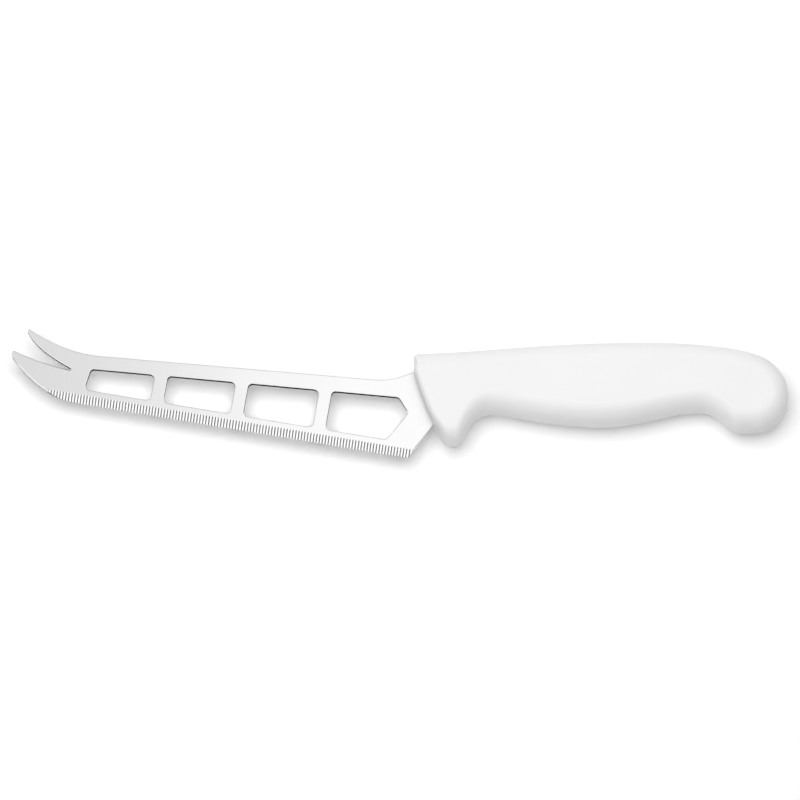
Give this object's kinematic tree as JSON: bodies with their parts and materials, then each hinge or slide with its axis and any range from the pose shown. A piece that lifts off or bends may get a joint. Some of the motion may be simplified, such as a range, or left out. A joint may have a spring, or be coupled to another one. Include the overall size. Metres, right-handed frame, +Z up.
{
  "type": "cheese knife",
  "caption": "Cheese knife with a pierced, fluted blade that ends in a fork, moulded into a plastic handle with a finger guard and pommel.",
  "frame": {"origin": "middle of the footprint, on the surface that the knife lies on", "axes": "+X from the fork to the butt, +Y from the cutting edge to the back, +Z up from the surface, toward the fluted face"},
  "size_m": [0.2642, 0.045, 0.018],
  "materials": {
    "steel": "bright satin stainless steel",
    "plastic": "fine matte white polypropylene"
  },
  "bodies": {
    "root": {"blade": "steel", "handle": "plastic"}
  },
  "joints": []
}
